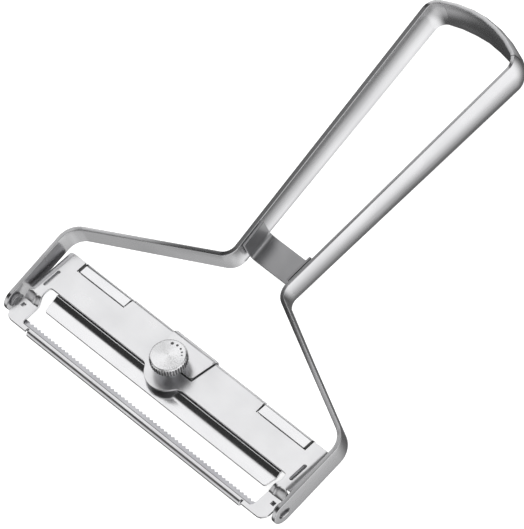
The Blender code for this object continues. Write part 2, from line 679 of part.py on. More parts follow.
def leaf(material, parent):
    """Leaf clipped round the rolled edge, forked round the knob's neck to steady it."""
    r = ROLL_R + GAP + LEAF_T / 2

    def shape(x, p, off):
        if p > HINGE_S:
            a = (p - HINGE_S) / r
            return (x, HINGE_S + (r + off) * math.sin(a), HINGE_N + (r + off) * math.cos(a))
        return (x, p, HINGE_N + r + off)

    end = HINGE_S + r * LEAF_TURN
    fork = NECK_KNOB_R + FORK_GAP
    opening = math.degrees(math.asin((LEAF_FRONT_S - KNOB_S) / fork))
    front = [Vector((LEAF_FRONT_HALF, LEAF_FRONT_S)), Vector((LEAF_HALF, HINGE_S)), Vector((LEAF_HALF, end))]
    side = fillet([(KNOB_X - LEAF_X, LEAF_FRONT_S, 0), (*front[0], LEAF_CORNER_R), (*front[1], 2.0),
                   (*front[2], 1.0), (0, end, 0)], 18)[1:]
    right = [(LEAF_X + x, y) for x, y in side]
    left = [(LEAF_X - x, y) for x, y in reversed(side[:-1])]
    outline = arc(KNOB_X, KNOB_S, fork, 180 - opening, opening, 12) + right + left
    cuts = [HINGE_S + r * LEAF_TURN * k / 11 for k in range(11)]
    bm = pressed(outline, [], [], cuts, shape, LEAF_T)
    return finish("brake_leaf", bm, material, parent)


def knob(material, parent):
    """Knurled thumb knob with a polished lip, a neck and a blind bore for the screw."""
    low = KNOB_TOP_N - KNOB_H
    seat = PLATE_TOP_N + GAP
    bore = SCREW_HOLE_R
    sides = KNURLS * 2

    def ridge(radius, k, angle):
        return radius - (KNURL_DEPTH if k % 2 else 0.0)

    profile = [(0.6, low + 1.9, 0), (bore, low + 1.8, 0), (bore, seat, 0), (NECK_KNOB_R - 0.1, seat, 0),
               (NECK_KNOB_R, seat + 0.15, 0), (NECK_KNOB_R, low, 0), (KNOB_R - 0.75, low, 0),
               (KNOB_R - 0.45, low + 0.2, 0), (KNOB_R - 0.45, low + 0.55, 0), (KNOB_R, low + 0.7, 1),
               (KNOB_R, KNOB_TOP_N - 0.55, 1), (KNOB_R - 0.4, KNOB_TOP_N - 0.2, 0),
               (KNOB_R - 0.7, KNOB_TOP_N, 0), (0.6, KNOB_TOP_N, 0)]
    bm = turned(profile, sides, shape=ridge)
    return finish("thumb_knob", bm, material, parent)


def screw(material, parent):
    """Screw of the knob, with the groove that its retaining ring sits in."""
    top = KNOB_TOP_N - KNOB_H + 1.5
    ring_top = PLATE_N - HALF_T - RUN_GAP
    high, low = ring_top + 0.12, ring_top - RING_T - 0.12
    profile = [(SCREW_R - 0.4, SCREW_END_N, 0), (SCREW_R, SCREW_END_N + 0.4, 0), (SCREW_R, low, 0),
               (GROOVE_R, low, 0), (GROOVE_R, high, 0), (SCREW_R, high, 0), (SCREW_R, top, 0)]
    return finish("adjusting_screw", turned(profile, 24), material, parent)


def ring(material, parent):
    """Retaining ring under the carrier."""
    high = PLATE_N - HALF_T - RUN_GAP
    bore = GROOVE_R + GAP
    profile = [(bore, high - RING_T, 0), (RING_R, high - RING_T, 0), (RING_R, high, 0), (bore, high, 0)]
    return finish("retaining_ring", turned(profile, 24, closed=True), material, parent)


def bush(material, parent):
    """Threaded bush in the guide plate, with a hexagon below it."""
    def hexagon(radius, k, angle):
        return radius * math.cos(math.pi / 6) / math.cos(angle % (math.pi / 3) - math.pi / 6)

    top = GUIDE_TOP_N
    seat = GUIDE_TOP_N - GUIDE_T - GAP
    low = seat - BUSH_FLANGE_T
    profile = [(SCREW_HOLE_R, low, 0), (BUSH_HEX - 0.3, low, 1), (BUSH_HEX, low + 0.25, 1),
               (BUSH_HEX, seat, 1), (BUSH_R, seat, 0), (BUSH_R, top, 0), (SCREW_HOLE_R, top, 0)]
    obj = finish("threaded_bush", turned(profile, 24, closed=True, shape=hexagon), material, parent)
    obj.location = (KNOB_X * MM, (KNOB_S - HINGE_S) * MM, -HINGE_N * MM)
    return obj


def washer(side, material, parent):
    """Pivot washer on a tab, between the carrier and the arm."""
    near = CORNER_X + 0.45
    profile = [(TAB_HALF + GAP, near, 0), (WASHER_R - 0.15, near, 0), (WASHER_R, near + 0.15, 0),
               (WASHER_R, near + WASHER_T - 0.15, 0), (WASHER_R - 0.15, near + WASHER_T, 0),
               (TAB_HALF + GAP, near + WASHER_T, 0)]
    profile = [(r, side * x, w) for r, x, w in profile]
    name = "pivot_washer_right" if side > 0 else "pivot_washer_left"
    return finish(name, turned(profile, 24, closed=True, axis="x"), material, parent)


def build():
    """Builds every piece."""
    for obj in list(bpy.data.objects):
        bpy.data.objects.remove(obj, do_unlink=True)

    handle_strip(steel("strip steel", (0.60, 0.60, 0.61), 0.30))
    neck_bridge(steel("bridge steel", (0.64, 0.64, 0.65), 0.26))

    axis = empty("cutter_axis", (0, -SHIFT_Y, PIVOT_Z), -TILT)
    carrier(steel("carrier steel", (0.70, 0.70, 0.71), 0.24), axis)
    blade(steel("blade steel", (0.58, 0.58, 0.60), 0.22), axis)
    hinge_rod(steel("rod steel", (0.55, 0.55, 0.56), 0.30), axis)
    leaf(steel("leaf steel", (0.72, 0.72, 0.73), 0.24), axis)
    tab_steel = steel("washer steel", (0.62, 0.62, 0.63), 0.25)
    washer(-1, tab_steel, axis)
    washer(1, tab_steel.copy(), axis)

    guide_axis = empty("guide_axis", (0, HINGE_S, HINGE_N), 0.0, axis)
    guide_plate(steel("guide steel", (0.70, 0.70, 0.72), 0.22), guide_axis)
    bush(steel("bush steel", (0.50, 0.50, 0.51), 0.35), guide_axis)

    knob_axis = empty("knob_axis", (KNOB_X, KNOB_S, 0), 0.0, axis)
    knob(steel("knob steel", (0.72, 0.72, 0.73), 0.20), knob_axis)
    screw(steel("screw steel", (0.50, 0.50, 0.51), 0.35), knob_axis)
    ring(steel("ring steel", (0.45, 0.45, 0.46), 0.35), knob_axis)


build()
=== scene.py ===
"""Dresses the wide Y-handled slicer-peeler: satin steel with smooth bends on every piece, the knurled
knob's turned face and setting marks, a pale floor, soft studio light and the camera.
"""
import json
import logging
import math
from dataclasses import dataclass, field
from enum import Enum
from typing import Callable, Optional, Sequence, Union

import bpy
from mathutils import Matrix, Vector

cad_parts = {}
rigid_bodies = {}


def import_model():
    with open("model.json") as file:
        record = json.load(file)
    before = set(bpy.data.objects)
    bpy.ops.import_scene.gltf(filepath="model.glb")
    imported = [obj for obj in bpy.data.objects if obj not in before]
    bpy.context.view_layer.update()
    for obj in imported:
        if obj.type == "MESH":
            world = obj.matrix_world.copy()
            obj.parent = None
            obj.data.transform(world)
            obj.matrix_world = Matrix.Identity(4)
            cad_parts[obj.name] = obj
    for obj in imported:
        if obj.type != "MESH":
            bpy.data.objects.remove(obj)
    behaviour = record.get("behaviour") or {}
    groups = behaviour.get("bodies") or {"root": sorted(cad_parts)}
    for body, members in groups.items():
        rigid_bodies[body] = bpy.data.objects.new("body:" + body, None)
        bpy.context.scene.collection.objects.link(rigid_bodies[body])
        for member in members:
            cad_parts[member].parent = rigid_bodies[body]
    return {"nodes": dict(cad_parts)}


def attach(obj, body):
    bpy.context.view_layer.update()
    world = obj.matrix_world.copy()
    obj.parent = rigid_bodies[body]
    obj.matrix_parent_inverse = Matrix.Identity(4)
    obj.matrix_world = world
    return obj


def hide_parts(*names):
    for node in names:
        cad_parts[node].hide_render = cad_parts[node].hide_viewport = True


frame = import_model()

LOG = logging.getLogger("slicer_peeler")
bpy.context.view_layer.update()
MM = 0.001

# The cutter's lean, the pivot's place and the handle's end, as the solids have them.
TILT = math.radians(11.6)
SHIFT_Y = 87.483
PIVOT_Z = 8.0
END_Y, END_TOP_Z = 174.9, 16.0

# The knob, in the cutter's millimetres.
KNOB_X, KNOB_S = -2.4, 15.1
KNOB_R, KNURL_DEPTH = 6.9, 0.35
KNOB_TOP_N, KNOB_H = 10.63, 4.0

# Where the knurl's grooves get painted shade and its crests are worn. RIM_DROP and KNURL_DROP are
# millimetres below the knob's top and
# NECK_GAP is millimetres above its underside. The ends and starts are shares of the knurl's depth, from a
# groove's bottom (0) to a crest (1).
RIM_DROP, KNURL_DROP, NECK_GAP = 0.60, 0.75, 0.1
GROOVE_PAINTED_SHADE, GROOVE_SHADE_END = 0.92, 0.7
CREST_START, CREST_END, CREST_ROUGHNESS = 0.5, 0.9, 0.62
# Colour of the dark seam, and of the painted shade in close gaps and in the knurl's grooves.
DARK = (0.03, 0.03, 0.03, 1.0)

# Range of the haze noise over which the steel goes from clean to dulled.
HAZE_RANGE = (0.35, 0.68)

# Mesh clean-up: points closer than MERGE metres are one point, and faces within FLAT are one flat.
MERGE = 0.000004
FLAT = math.radians(0.4)
SMOOTH_DEG = 50.0

# Sockets of a colour mix and of a range of vectors, whose names are the same in every mode.
MIX_SHARE, MIX_A, MIX_B, MIX_RESULT = 0, 6, 7, 2
RANGE_VALUE, RANGE_FROM_MIN, RANGE_FROM_MAX, RANGE_TO_MIN, RANGE_TO_MAX, RANGE_RESULT = 6, 7, 8, 9, 10, 1
NUMBER, VECTOR, COLOUR = "NodeSocketFloat", "NodeSocketVector", "NodeSocketColor"

Colour = tuple[float, float, float]
Triple = tuple[float, float, float]
Socket = bpy.types.NodeSocket
Nodes = bpy.types.Nodes
Feed = Union[Socket, float, Sequence[float]]
Link = Callable[[Socket, Socket], bpy.types.NodeLink]


def from_cutter(x: float, s: float, n: float, tilt: float = TILT) -> Vector:
    """Place in the row frame, in metres, of a point given in the cutter's own millimetres.

    Args:
        x: millimetres along the blade.
        s: millimetres from the pivot towards the handle, in the cutter's plane.
        n: millimetres above the pivot, square to the cutter's plane.
        tilt: how far the cutter's plane leans down towards the handle, in radians.

    Returns:
        The same point in metres, in the frame that every object here shares.
    """
    y = s * math.cos(tilt) + n * math.sin(tilt) - SHIFT_Y
    z = PIVOT_Z - s * math.sin(tilt) + n * math.cos(tilt)
    return Vector((x, y, z)) * MM


def knurl_radius(share: float) -> float:
    """Radius in metres at a share of the knurl's depth, from a groove's bottom (0) to a crest (1)."""
    return (KNOB_R - (1 - share) * KNURL_DEPTH) * MM


def knob_level(drop: float) -> float:
    """Height in metres over the pivot of a level some millimetres below the knob's top."""
    return (KNOB_TOP_N - drop) * MM


def feed(link: Link, socket: Socket, value: Feed) -> None:
    """Links a socket to another one, or sets it to a plain value.

    Args:
        link: link maker of their node tree.
        socket: the socket that is fed.
        value: another node's socket, a number, a vector or a colour.
    """
    if isinstance(value, bpy.types.NodeSocket):
        link(value, socket)
    else:
        socket.default_value = value


def reckon(nodes: Nodes, link: Link, operation: str, first: Feed, second: Feed) -> Socket:
    """Adds a Math node.

    Args:
        nodes: nodes to add it to.
        link: their link maker.
        operation: what it works out.
        first: its first number.
        second: its second number.

    Returns:
        Socket with the result.
    """
    node = nodes.new("ShaderNodeMath")
    node.operation = operation
    feed(link, node.inputs[0], first)
    feed(link, node.inputs[1], second)
    return node.outputs[0]


def vector_step(nodes: Nodes, link: Link, operation: str, *vectors: Feed) -> bpy.types.Node:
    """Adds a Vector Math node.

    Args:
        nodes: nodes to add it to.
        link: their link maker.
        operation: what it works out.
        vectors: its vectors, in order.

    Returns:
        The node.
    """
    node = nodes.new("ShaderNodeVectorMath")
    node.operation = operation
    for socket, vector in zip(node.inputs, vectors):
        feed(link, socket, vector)
    return node


def ranged(nodes: Nodes, link: Link, value: Socket, start: tuple[float, float], goal: tuple[float, float],
           smooth: bool = False) -> Socket:
    """Adds a Map Range node, which stops at its ends.

    Args:
        nodes: nodes to add it to.
        link: their link maker.
        value: socket with the number to map.
        start: range of numbers that comes in.
        goal: range of numbers that goes out.
        smooth: whether the ends are eased.

    Returns:
        Socket with the mapped number.
    """
    node = nodes.new("ShaderNodeMapRange")
    if smooth:
        node.interpolation_type = "SMOOTHSTEP"
    node.inputs["From Min"].default_value, node.inputs["From Max"].default_value = start
    node.inputs["To Min"].default_value, node.inputs["To Max"].default_value = goal
    link(value, node.inputs["Value"])
    return node.outputs["Result"]


def mixed(nodes: Nodes, link: Link, share: Socket, first: Feed, second: Feed) -> Socket:
    """Adds a mix of two colours.

    Args:
        nodes: nodes to add it to.
        link: their link maker.
        share: socket with the share of the second colour.
        first: the first colour.
        second: the second colour.

    Returns:
        Socket with the mixed colour.
    """
    node = nodes.new("ShaderNodeMix")
    node.data_type = "RGBA"
    link(share, node.inputs[MIX_SHARE])
    feed(link, node.inputs[MIX_A], first)
    feed(link, node.inputs[MIX_B], second)
    return node.outputs[MIX_RESULT]


class Grain(Enum):
    """Way that the last polishing strokes run, as stretch along X, Y and Z."""

    ALONG_BLADE = (0.06, 1.0, 1.0)
    ALONG_HANDLE = (1.0, 0.05, 1.0)
    EVEN = (1.0, 1.0, 1.0)


@dataclass(frozen=True)
class Shade:
    """Dark seam, or painted shade in a close gap, given in the cutter's millimetres (x, s and n).

    With no tilt the millimetres are those of the handle: s along it and n up from the pivot.
    """

    centre: Triple
    half: Triple
    soft: Triple
    strength: float
    turn: float = 0.0
    tilt: float = TILT


@dataclass(frozen=True)
class SteelFinish:
    """One finish of stainless steel, with the values that its material needs."""

    name: str
    tint: Colour
    dulled: Colour
    roughness: float
    spread: float = 0.06
    grain: Grain = Grain.EVEN
    grain_scale: float = 900.0
    grain_depth: float = 0.000004
    haze_scale: float = 60.0
    lathe_scale: float = 60000.0
    lathe_lean: float = 0.0
    shades: tuple[Shade, ...] = ()


# The seam where the strip's two ends meet.
STRIP_SHADES = (Shade((19.1, 175.8, 6.2), (1.9, 0.22, 2.6), (0.2, 0.10, 1.2), 0.92, 45.0, 0.0),)
# Painted shade along the window's front edge, and along the leaf's front and right outlines, where the
# raised leaf meets the plate.
PLATE_PAINTED_SHADE = (
    Shade((0.0, -5.36, 0.5), (57.6, 0.20, 0.4), (0.5, 0.12, 0.1), 0.75),
    Shade((3.5, 15.68, 2.9), (3.9, 0.36, 0.5), (0.2, 0.15, 0.1), 0.9),
    Shade((7.95, 20.7, 2.9), (0.36, 5.3, 0.5), (0.15, 0.2, 0.1), 0.9, -7.9),
)
# Painted shade in the gaps at the outer ends of the two rear notches, drawn wider than the real gap of 0.4
# mm.
GUIDE_PAINTED_SHADE = (
    Shade((-57.0, 23.9, 2.4), (0.9, 2.9, 1.0), (0.3, 0.3, 0.1), 0.96),
    Shade((57.0, 23.9, 2.4), (0.9, 2.9, 1.0), (0.3, 0.3, 0.1), 0.96),
)

STRIP_STEEL = SteelFinish("strip_satin", (0.62, 0.62, 0.63), (0.55, 0.55, 0.56), 0.24,
                          grain=Grain.ALONG_HANDLE, shades=STRIP_SHADES)
BRIDGE_STEEL = SteelFinish("bridge_satin", (0.46, 0.46, 0.47), (0.40, 0.40, 0.41), 0.34,
                           grain=Grain.ALONG_BLADE)
PLATE_STEEL = SteelFinish("plate_satin", (0.76, 0.76, 0.77), (0.71, 0.71, 0.725), 0.27,
                          grain=Grain.ALONG_BLADE, shades=PLATE_PAINTED_SHADE)
LOUVRE_STEEL = SteelFinish("louvre_satin", (0.70, 0.70, 0.71), (0.62, 0.62, 0.63), 0.22,
                           grain=Grain.ALONG_BLADE)
GUIDE_STEEL = SteelFinish("guide_polish", (0.78, 0.78, 0.79), (0.73, 0.73, 0.745), 0.18,
                          grain=Grain.ALONG_BLADE, shades=GUIDE_PAINTED_SHADE)
BLADE_STEEL = SteelFinish("blade_ground", (0.47, 0.47, 0.49), (0.36, 0.36, 0.38), 0.20,
                          grain=Grain.ALONG_BLADE)
LEAF_STEEL = SteelFinish("leaf_satin", (0.76, 0.76, 0.77), (0.70, 0.70, 0.715), 0.24,
                         grain=Grain.ALONG_BLADE)
KNOB_STEEL = SteelFinish("knob_turned", (0.78, 0.78, 0.79), (0.70, 0.70, 0.71), 0.16, lathe_lean=0.5)
SCREW_STEEL = SteelFinish("screw_plain", (0.50, 0.50, 0.51), (0.42, 0.42, 0.43), 0.30)
MARK_FILL = SteelFinish("mark_dark", (0.16, 0.16, 0.16), (0.10, 0.10, 0.10), 0.45)


class FinishShop:
    """Builds the shared shader groups once and a material for each finish."""

    def __init__(self) -> None:
        """Makes the shared groups."""
        self.grain_group = self._grain_group()
        self.haze_group = self._haze_group()
        self.lathe_group = self._turned_group()
        self.shade_group = self._shaded_group()
        self.made: dict[str, bpy.types.Material] = {}

    @staticmethod
    def _group(name: str, inputs: Sequence[tuple[str, str]], outputs: Sequence[tuple[str, str]]
               ) -> tuple[bpy.types.NodeTree, bpy.types.Node, bpy.types.Node]:
        """Starts a shader node group.

        Args:
            name: name of the group.
            inputs: (socket name, socket type) pairs.
            outputs: (socket name, socket type) pairs.

        Returns:
            The group with its input and output nodes.
        """
        group = bpy.data.node_groups.new(name, "ShaderNodeTree")
        for label, kind in inputs:
            group.interface.new_socket(name=label, in_out="INPUT", socket_type=kind)
        for label, kind in outputs:
            group.interface.new_socket(name=label, in_out="OUTPUT", socket_type=kind)
        return group, group.nodes.new("NodeGroupInput"), group.nodes.new("NodeGroupOutput")

    @staticmethod
    def _placed(nodes: Nodes, link: Link, group: bpy.types.NodeTree, place: Socket, **values: Feed
                ) -> bpy.types.Node:
        """Puts a shared group into a material.

        Args:
            nodes: the material's nodes.
            link: the material's link maker.
            group: the shared group.
            place: socket with the place on the object.
            values: plain values of the group's other inputs, by name.

        Returns:
            The group's node.
        """
        node = nodes.new("ShaderNodeGroup")
        node.node_tree = group
        link(place, node.inputs["Vector"])
        for label, value in values.items():
            node.inputs[label].default_value = value
        return node

    def _grain_group(self) -> bpy.types.NodeTree:
        """Polishing strokes: fine noise drawn out along one direction.

        Returns:
            The group.
        """
        group, start, end = self._group("polishing strokes",
                                        [("Vector", VECTOR), ("Stretch", VECTOR), ("Scale", NUMBER)],
                                        [("Strokes", NUMBER)])
        nodes, link = group.nodes, group.links.new
        drawn = vector_step(nodes, link, "MULTIPLY", start.outputs["Vector"], start.outputs["Stretch"])
        noise = nodes.new("ShaderNodeTexNoise")
        noise.inputs["Detail"].default_value = 5.0
        noise.inputs["Roughness"].default_value = 0.6
        link(drawn.outputs["Vector"], noise.inputs["Vector"])
        link(start.outputs["Scale"], noise.inputs["Scale"])
        link(noise.outputs["Fac"], end.inputs["Strokes"])
        return group

    def _haze_group(self) -> bpy.types.NodeTree:
        """Handling haze: broad soft patches where the polish is a little duller.

        Returns:
            The group.
        """
        group, start, end = self._group("handling haze", [("Vector", VECTOR), ("Scale", NUMBER)],
                                        [("Haze", NUMBER)])
        nodes, link = group.nodes, group.links.new
        noise = nodes.new("ShaderNodeTexNoise")
        noise.inputs["Detail"].default_value = 3.0
        link(start.outputs["Vector"], noise.inputs["Vector"])
        link(start.outputs["Scale"], noise.inputs["Scale"])
        patches = ranged(nodes, link, noise.outputs["Fac"], HAZE_RANGE, (0.0, 1.0))
        link(patches, end.inputs["Haze"])
        return group

    def _turned_group(self) -> bpy.types.NodeTree:
        """Lathe marks: normals that lean in and out along the radius, finer than the eye can part.

        Returns:
            The group.
        """
        group, start, end = self._group("lathe marks",
                                        [("Vector", VECTOR), ("Scale", NUMBER), ("Lean", NUMBER)],
                                        [("Normal", VECTOR), ("Radius", NUMBER), ("Height", NUMBER)])
        nodes, link = group.nodes, group.links.new
        knob = Matrix.Translation(from_cutter(KNOB_X, KNOB_S, 0)) @ Matrix.Rotation(-TILT, 4, "X")
        to_knob = nodes.new("ShaderNodeMapping")
        to_knob.vector_type = "TEXTURE"
        to_knob.inputs["Location"].default_value = knob.translation
        to_knob.inputs["Rotation"].default_value = knob.to_euler()
        link(start.outputs["Vector"], to_knob.inputs["Vector"])
        apart = nodes.new("ShaderNodeSeparateXYZ")
        link(to_knob.outputs["Vector"], apart.inputs[0])
        flat = vector_step(nodes, link, "MULTIPLY", to_knob.outputs["Vector"], (1, 1, 0)).outputs["Vector"]
        radius = vector_step(nodes, link, "LENGTH", flat).outputs["Value"]
        outward = vector_step(nodes, link, "NORMALIZE", flat).outputs["Vector"]

        back = nodes.new("ShaderNodeMapping")
        back.vector_type = "VECTOR"
        back.inputs["Rotation"].default_value = knob.to_euler()
        link(outward, back.inputs["Vector"])
        turn = nodes.new("ShaderNodeVectorTransform")
        turn.vector_type = "VECTOR"
        turn.convert_from, turn.convert_to = "OBJECT", "WORLD"
        link(back.outputs["Vector"], turn.inputs["Vector"])

        ridge = nodes.new("ShaderNodeTexWhiteNoise")
        ridge.noise_dimensions = "1D"
        link(reckon(nodes, link, "MULTIPLY", radius, start.outputs["Scale"]), ridge.inputs["W"])
        signed = reckon(nodes, link, "SUBTRACT", ridge.outputs["Value"], 0.5)
        lean = vector_step(nodes, link, "SCALE", turn.outputs["Vector"])
        link(reckon(nodes, link, "MULTIPLY", signed, start.outputs["Lean"]), lean.inputs["Scale"])
        face = nodes.new("ShaderNodeNewGeometry").outputs["Normal"]
        both = vector_step(nodes, link, "ADD", face, lean.outputs["Vector"])
        unit = vector_step(nodes, link, "NORMALIZE", both.outputs["Vector"])
        link(unit.outputs["Vector"], end.inputs["Normal"])
        link(radius, end.inputs["Radius"])
        link(apart.outputs["Z"], end.inputs["Height"])
        return group

    def _shaded_group(self) -> bpy.types.NodeTree:
        """One dark seam, or the painted shade of a close gap, with a soft border.

        Returns:
            The group.
        """
        group, start, end = self._group("shaded place",
                                        [("Vector", VECTOR), ("Colour", COLOUR), ("Location", VECTOR),
                                         ("Rotation", VECTOR), ("Half", VECTOR), ("Full", VECTOR),
                                         ("Strength", NUMBER)],
                                        [("Colour", COLOUR)])
        nodes, link = group.nodes, group.links.new
        inside = nodes.new("ShaderNodeMapping")
        inside.vector_type = "TEXTURE"
        for label in ("Vector", "Location", "Rotation"):
            link(start.outputs[label], inside.inputs[label])
        link(start.outputs["Half"], inside.inputs["Scale"])
        away = vector_step(nodes, link, "ABSOLUTE", inside.outputs["Vector"])
        fade = nodes.new("ShaderNodeMapRange")
        fade.data_type = "FLOAT_VECTOR"
        fade.interpolation_type = "SMOOTHSTEP"
        fade.inputs[RANGE_FROM_MIN].default_value = (1, 1, 1)
        fade.inputs[RANGE_TO_MIN].default_value = (0, 0, 0)
        fade.inputs[RANGE_TO_MAX].default_value = (1, 1, 1)
        link(away.outputs["Vector"], fade.inputs[RANGE_VALUE])
        link(start.outputs["Full"], fade.inputs[RANGE_FROM_MAX])
        apart = nodes.new("ShaderNodeSeparateXYZ")
        link(fade.outputs[RANGE_RESULT], apart.inputs[0])
        flat = reckon(nodes, link, "MULTIPLY", apart.outputs["X"], apart.outputs["Y"])
        deep = reckon(nodes, link, "MULTIPLY", flat, apart.outputs["Z"])
        share = reckon(nodes, link, "MULTIPLY", deep, start.outputs["Strength"])
        link(mixed(nodes, link, share, start.outputs["Colour"], DARK), end.inputs["Colour"])
        return group

    @staticmethod
    def _groove_shade(nodes: Nodes, link: Link, lathe: bpy.types.Node, colour: Socket) -> Socket:
        """Paints shade into the bottoms of the knurl's grooves.

        Args:
            nodes: the material's nodes.
            link: the material's link maker.
            lathe: the lathe marks' node, for its radius and height.
            colour: socket with the colour of clean steel.

        Returns:
            Socket with the shaded colour.
        """
        radius, height = lathe.outputs["Radius"], lathe.outputs["Height"]
        deep = ranged(nodes, link, radius, (knurl_radius(0.0), knurl_radius(GROOVE_SHADE_END)), (GROOVE_PAINTED_SHADE, 0.0))
        below_rim = ranged(nodes, link, height, (knob_level(KNURL_DROP), knob_level(RIM_DROP)), (1.0, 0.0))
        above_neck = reckon(nodes, link, "GREATER_THAN", height, knob_level(KNOB_H - NECK_GAP))
        band = reckon(nodes, link, "MULTIPLY", below_rim, above_neck)
        share = reckon(nodes, link, "MULTIPLY", deep, band)
        return mixed(nodes, link, share, colour, DARK)

    @staticmethod
    def _crest_wear(nodes: Nodes, link: Link, lathe: bpy.types.Node) -> Socket:
        """Dulls the crests of the knurl, which handling has worn.

        Args:
            nodes: the material's nodes.
            link: the material's link maker.
            lathe: the lathe marks' node, for its radius and height.

        Returns:
            Socket with the crests' roughness, and 0 elsewhere.
        """
        crest = ranged(nodes, link, lathe.outputs["Radius"],
                       (knurl_radius(CREST_START), knurl_radius(CREST_END)), (0.0, 1.0))
        below_rim = reckon(nodes, link, "LESS_THAN", lathe.outputs["Height"], knob_level(RIM_DROP))
        share = reckon(nodes, link, "MULTIPLY", crest, below_rim)
        return ranged(nodes, link, share, (0.0, 1.0), (0.0, CREST_ROUGHNESS))

    def _darken(self, nodes: Nodes, link: Link, shade: Shade, place: Socket, colour: Socket) -> Socket:
        """Darkens one seam, or paints the shade of one close gap.

        Args:
            nodes: the material's nodes.
            link: the material's link maker.
            shade: the seam, or the close gap whose shade is painted.
            place: socket with the place on the object.
            colour: socket with the colour so far.

        Returns:
            Socket with the darkened colour.
        """
        turned = Matrix.Rotation(-shade.tilt, 4, "X") @ Matrix.Rotation(math.radians(shade.turn), 4, "Z")
        full = [1 - soft / half for soft, half in zip(shade.soft, shade.half)]
        dark = self._placed(nodes, link, self.shade_group, place, Strength=shade.strength, Full=full,
                            Half=Vector(shade.half) * MM, Rotation=turned.to_euler(),
                            Location=from_cutter(*shade.centre, shade.tilt))
        link(colour, dark.inputs["Colour"])
        return dark.outputs["Colour"]

    def material(self, finish: SteelFinish) -> bpy.types.Material:
        """Gives the material of a finish, made the first time it is asked for.

        Args:
            finish: the finish to build.

        Returns:
            The material.
        """
        if finish.name in self.made:
            return self.made[finish.name]
        material = bpy.data.materials.new(finish.name)
        material.use_nodes = True
        nodes, link = material.node_tree.nodes, material.node_tree.links.new
        shader = nodes["Principled BSDF"]
        shader.inputs["Metallic"].default_value = 1.0
        place = nodes.new("ShaderNodeTexCoord").outputs["Object"]
        strokes = self._placed(nodes, link, self.grain_group, place, Stretch=finish.grain.value,
                               Scale=finish.grain_scale).outputs["Strokes"]
        haze = self._placed(nodes, link, self.haze_group, place, Scale=finish.haze_scale).outputs["Haze"]

        patches = reckon(nodes, link, "MULTIPLY", strokes, haze)
        colour = mixed(nodes, link, patches, (*finish.tint, 1.0), (*finish.dulled, 1.0))
        roughness = ranged(nodes, link, haze, (0.0, 1.0),
                           (finish.roughness, finish.roughness + finish.spread))
        bump = nodes.new("ShaderNodeBump")
        bump.inputs["Distance"].default_value = finish.grain_depth
        link(strokes, bump.inputs["Height"])
        if finish.lathe_lean:
            lathe = self._placed(nodes, link, self.lathe_group, place, Scale=finish.lathe_scale,
                                 Lean=finish.lathe_lean)
            link(lathe.outputs["Normal"], bump.inputs["Normal"])
            # Painted shade in the knurl's grooves.
            colour = self._groove_shade(nodes, link, lathe, colour)
            roughness = reckon(nodes, link, "MAXIMUM", roughness, self._crest_wear(nodes, link, lathe))
        # Dark seams, and painted shade in close gaps.
        for shade in finish.shades:
            colour = self._darken(nodes, link, shade, place, colour)
        link(colour, shader.inputs["Base Color"])
        link(roughness, shader.inputs["Roughness"])
        link(bump.outputs["Normal"], shader.inputs["Normal"])
        self.made[finish.name] = material
        return material


def deselect() -> None:
    """Leaves edit mode and selects nothing."""
    if bpy.context.object and bpy.context.object.mode != "OBJECT":
        bpy.ops.object.mode_set(mode="OBJECT")
    bpy.ops.object.select_all(action="DESELECT")


def make_active(obj: bpy.types.Object) -> None:
    """Selects one object alone and makes it active.

    Args:
        obj: the object.
    """
    deselect()
    obj.select_set(True)
    bpy.context.view_layer.objects.active = obj


def bevel_all(width: float) -> None:
    """Bevels every edge of the active object.

    Args:
        width: width of the bevel, in metres.
    """
    bpy.ops.object.mode_set(mode="EDIT")
    bpy.ops.mesh.select_all(action="SELECT")
    bpy.ops.mesh.bevel(offset=width, segments=2, affect="EDGES")
    bpy.ops.object.mode_set(mode="OBJECT")


def join_as(made: Sequence[bpy.types.Object], name: str) -> bpy.types.Object:
    """Joins several objects into the first of them.

    Args:
        made: the objects.
        name: name of the joined piece.

    Returns:
        The joined piece.
    """
    make_active(made[0])
    for obj in made:
        obj.select_set(True)
    bpy.ops.object.join()
    made[0].name = name
    return made[0]


def settle(obj: bpy.types.Object, body: str, nodes: Sequence[str],
           finish: bpy.types.Material) -> None:
    """Gives a piece its finish and ties it to the frame.

    Args:
        obj: the piece.
        body: CAD body that it moves with.
        nodes: CAD nodes that it stands for.
        finish: its material.
    """
    obj.data.materials.clear()
    obj.data.materials.append(finish)
    for face in obj.data.polygons:
        face.material_index = 0
    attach(obj, body)
    if nodes:
        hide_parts(*nodes)
    LOG.info("%s rides on %s, %d faces", obj.name, body, len(obj.data.polygons))


def smooth_copy(node: str, name: str, angle: float = SMOOTH_DEG,
                reshape: Optional[Callable[[bpy.types.Object], None]] = None) -> bpy.types.Object:
    """Copies a CAD solid, joins its loose faces and gives it smooth bends.

    Args:
        node: name of the CAD node.
        name: name of the new piece.
        angle: edges that turn less than this many degrees are shaded smooth.
        reshape: step that is run on the merged copy before it is smoothed.

    Returns:
        The new piece, placed as the node is.
    """
    make_active(frame["nodes"][node])
    bpy.ops.object.duplicate()
    piece = bpy.context.object
    piece.name = name
    piece.data = piece.data.copy()
    bpy.ops.object.parent_clear(type="CLEAR_KEEP_TRANSFORM")
    bpy.ops.object.transform_apply(location=True, rotation=True, scale=True)
    bpy.ops.object.mode_set(mode="EDIT")
    bpy.ops.mesh.select_all(action="SELECT")
    bpy.ops.mesh.remove_doubles(threshold=MERGE)
    bpy.ops.mesh.dissolve_limited(angle_limit=FLAT)
    bpy.ops.mesh.select_all(action="DESELECT")
    bpy.ops.object.mode_set(mode="OBJECT")
    if reshape:
        reshape(piece)
    bpy.ops.object.shade_smooth_by_angle(angle=math.radians(angle))
    weigh = piece.modifiers.new("true flats", "WEIGHTED_NORMAL")
    weigh.mode = "FACE_AREA"
    weigh.weight = 100
    weigh.keep_sharp = True
    bpy.ops.object.modifier_apply(modifier=weigh.name)
    return piece


